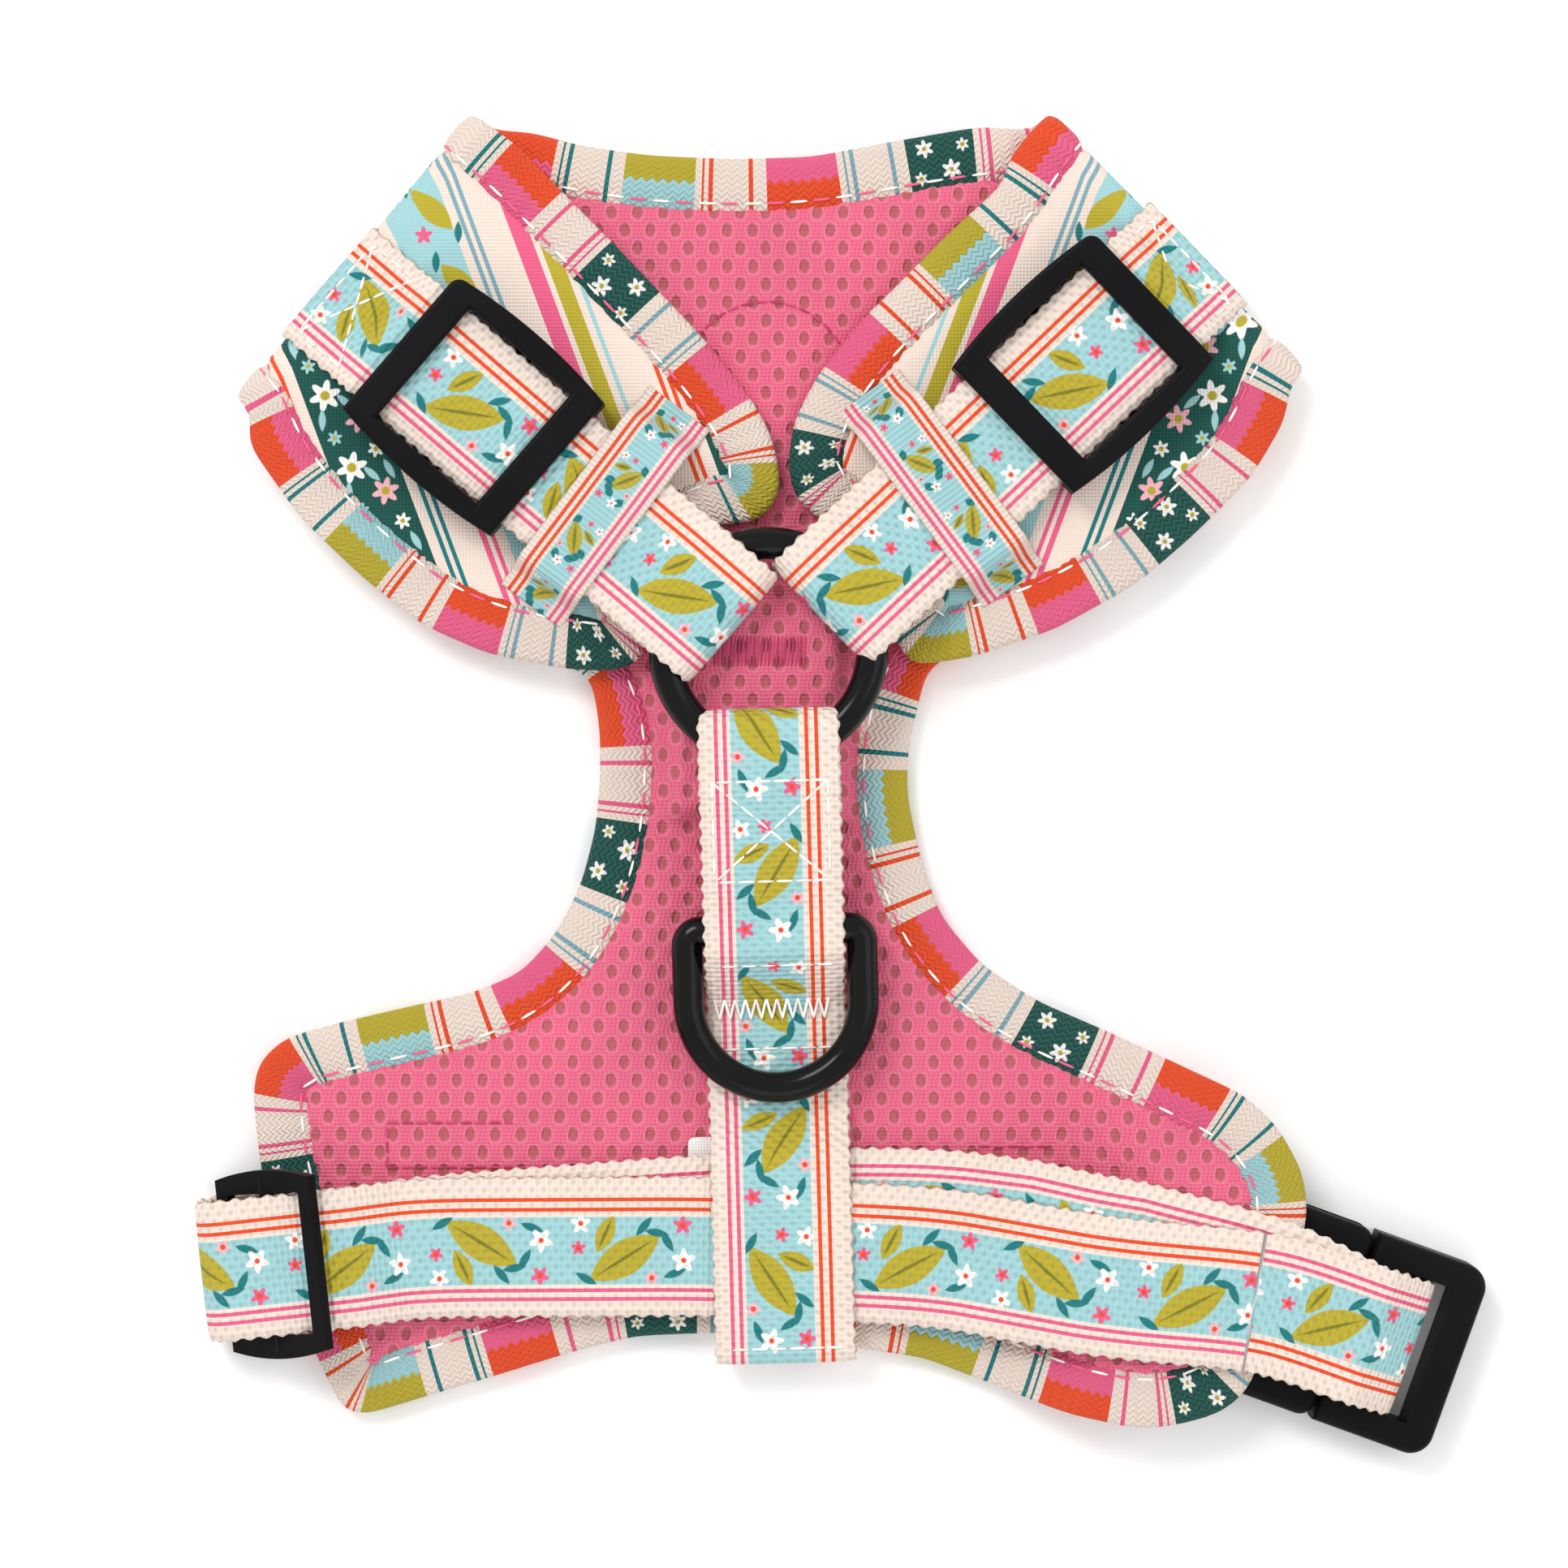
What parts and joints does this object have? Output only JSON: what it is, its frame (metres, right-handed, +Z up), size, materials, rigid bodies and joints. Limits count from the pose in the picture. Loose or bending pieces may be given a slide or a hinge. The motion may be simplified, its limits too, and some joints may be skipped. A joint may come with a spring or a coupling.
{
  "type": "no pull dog harness",
  "caption": "Padded no-pull dog harness lying flat: bound mesh-lined chest panel, adjustable shoulder and girth straps, leash rings front and back, side-release buckle.",
  "frame": {"origin": "centre of the flat harness's outline, on the surface it lies on", "axes": "+X towards the buckle, +Y towards the neck, +Z up from the surface to the back straps"},
  "size_m": [0.184, 0.1922, 0.0155],
  "materials": {
    "printed_fabric": "smooth printed polyester, diagonal stripes and small flowers",
    "air_mesh": "hot pink spacer mesh with staggered oval holes",
    "binding_knit": "folded zig-zag knit elastic, printed in cross bands",
    "webbing": "ribbed polyester webbing printed in long stripes with small motifs",
    "keeper_elastic": "flat printed elastic",
    "black_ring": "gloss black coated wire",
    "black_plastic": "black moulded acetal, satin",
    "plain_patch": "plain dark green cloth",
    "label_cloth": "plain white woven tape"
  },
  "bodies": {
    "harness": {"panel_fabric": "printed_fabric", "mesh_lining": "air_mesh", "edge_binding": "binding_knit", "left_shoulder_strap": "webbing", "right_shoulder_strap": "webbing", "left_strap_keeper": "keeper_elastic", "right_strap_keeper": "keeper_elastic", "back_strap": "webbing", "front_ring_tab": "webbing", "blank_patch": "plain_patch", "girth_strap": "webbing", "girth_strap_under_layer": "webbing", "buckle_socket": "black_plastic", "socket_webbing_tab": "webbing", "care_label": "label_cloth"},
    "o_ring": {"o_ring": "black_ring"},
    "back_dee": {"back_dee_ring": "black_ring"},
    "front_dee": {"front_dee_ring": "black_ring"},
    "left_slider": {"left_strap_slider": "black_plastic", "left_strap_sewn_end": "webbing"},
    "right_slider": {"right_strap_slider": "black_plastic", "right_strap_sewn_end": "webbing"},
    "girth_adjuster": {"girth_slider": "black_plastic", "girth_strap_sewn_end": "webbing"},
    "plug": {"buckle_plug": "black_plastic", "girth_strap_plug_end": "webbing"},
    "upper_prong": {"upper_buckle_prong": "black_plastic"},
    "lower_prong": {"lower_buckle_prong": "black_plastic"}
  },
  "joints": [
    {"name": "o_ring_turn", "type": "hinge", "parent": "harness", "child": "o_ring", "pos_m": [-0.0107, 0.0191, 0.0123], "axis": [0, 0, 1], "continuous": true},
    {"name": "back_dee_swing", "type": "hinge", "parent": "harness", "child": "back_dee", "pos_m": [-0.00992, -0.02109, 0.0089], "axis": [-0.9996, -0.0279, 0], "range_deg": [0, 150]},
    {"name": "front_dee_swing", "type": "hinge", "parent": "harness", "child": "front_dee", "pos_m": [-0.0125, 0.014, 0.00255], "axis": [1, 0, 0], "range_deg": [0, 150]},
    {"name": "left_slider_slide", "type": "slide", "parent": "harness", "child": "left_slider", "axis": [-0.757, 0.6534, 0], "range_m": [-0.0015, 0.001]},
    {"name": "right_slider_slide", "type": "slide", "parent": "harness", "child": "right_slider", "axis": [0.7218, 0.6921, 0], "range_m": [-0.0015, 0.001]},
    {"name": "girth_slider_slide", "type": "slide", "parent": "harness", "child": "girth_adjuster", "axis": [0.994, 0.1093, 0], "range_m": [0, 0.002]},
    {"name": "plug_release", "type": "slide", "parent": "harness", "child": "plug", "axis": [0.9403, -0.3404, 0], "range_m": [0, 0.02]},
    {"name": "upper_prong_squeeze", "type": "hinge", "parent": "plug", "child": "upper_prong", "pos_m": [0.07371, -0.06998, 0.00375], "axis": [0, 0, 1], "range_deg": [0, 7], "stiffness_Nm_per_rad": 0.05},
    {"name": "lower_prong_squeeze", "type": "hinge", "parent": "plug", "child": "lower_prong", "pos_m": [0.06826, -0.08503, 0.00375], "axis": [0, 0, -1], "range_deg": [0, 7], "stiffness_Nm_per_rad": 0.05}
  ],
  "couplings": [
    {"joint": "lower_prong_squeeze", "follows": "upper_prong_squeeze", "ratio": 1}
  ]
}
